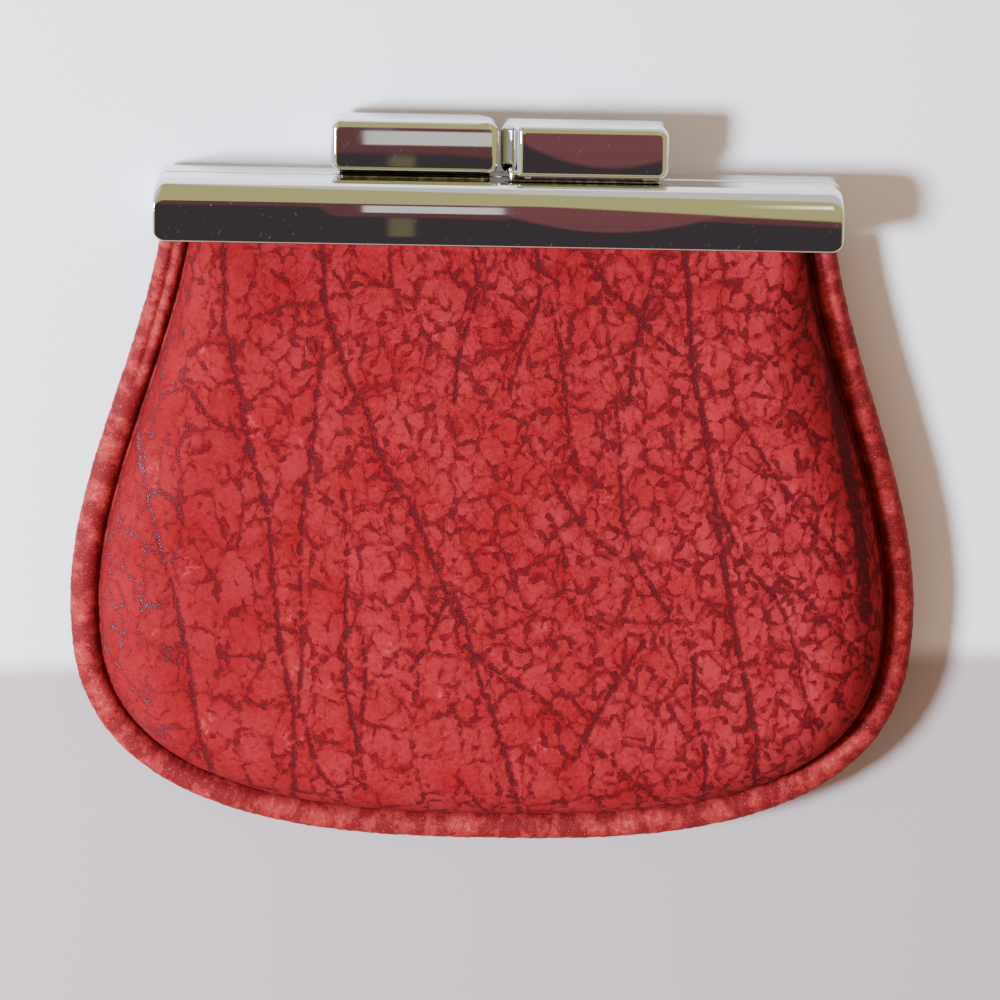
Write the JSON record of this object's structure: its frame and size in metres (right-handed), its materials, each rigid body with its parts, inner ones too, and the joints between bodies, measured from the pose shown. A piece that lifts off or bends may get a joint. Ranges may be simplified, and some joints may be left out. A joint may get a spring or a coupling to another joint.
{
  "type": "leather coin purse",
  "caption": "Padded crackled leather coin purse with piped seam on a chromed hinged frame that closes with snap clasp blocks.",
  "frame": {"origin": "on the surface that the purse lies on, under the middle of its outline", "axes": "+X along the frame's bars, +Y from the pouch's foot to the clasp, +Z out of the front face"},
  "size_m": [0.106, 0.0922, 0.0158],
  "materials": {
    "chrome": "polished chrome plate with fine scratches",
    "plated_steel": "plain nickel plate",
    "panel_leather": "crackled red leather, satin",
    "piping_leather": "worn red leather, stretched round a cord",
    "lining": "plain woven cotton, matt",
    "padding": "soft open padding, matt",
    "paper_twine": "twisted paper cord, matt"
  },
  "bodies": {
    "pouch": {"rear_bar": "chrome", "left_clasp_block": "chrome", "rear_arm_left": "plated_steel", "rear_arm_right": "plated_steel", "hinge_rivet_left": "plated_steel", "hinge_rivet_right": "plated_steel", "rear_paper_cord": "paper_twine", "front_panel": "panel_leather", "rear_panel": "panel_leather", "front_padding": "padding", "rear_padding": "padding", "front_lining": "lining", "rear_lining": "lining", "piping": "piping_leather", "piping_cord": "paper_twine"},
    "front_frame": {"front_bar": "chrome", "right_clasp_block": "chrome", "front_arm_left": "plated_steel", "front_arm_right": "plated_steel", "front_paper_cord": "paper_twine", "front_panel_top": "panel_leather", "front_lining_top": "lining", "piping_top_left": "piping_leather", "piping_top_right": "piping_leather", "piping_cord_top_left": "paper_twine", "piping_cord_top_right": "paper_twine"}
  },
  "joints": [
    {"name": "frame_hinge", "type": "hinge", "parent": "pouch", "child": "front_frame", "pos_m": [0, 0.01635, 0.0062], "axis": [1, 0, 0], "range_deg": [0, 75], "deforming": ["front_panel_top", "front_lining_top", "piping_top_left", "piping_top_right", "piping_cord_top_left", "piping_cord_top_right"]}
  ]
}
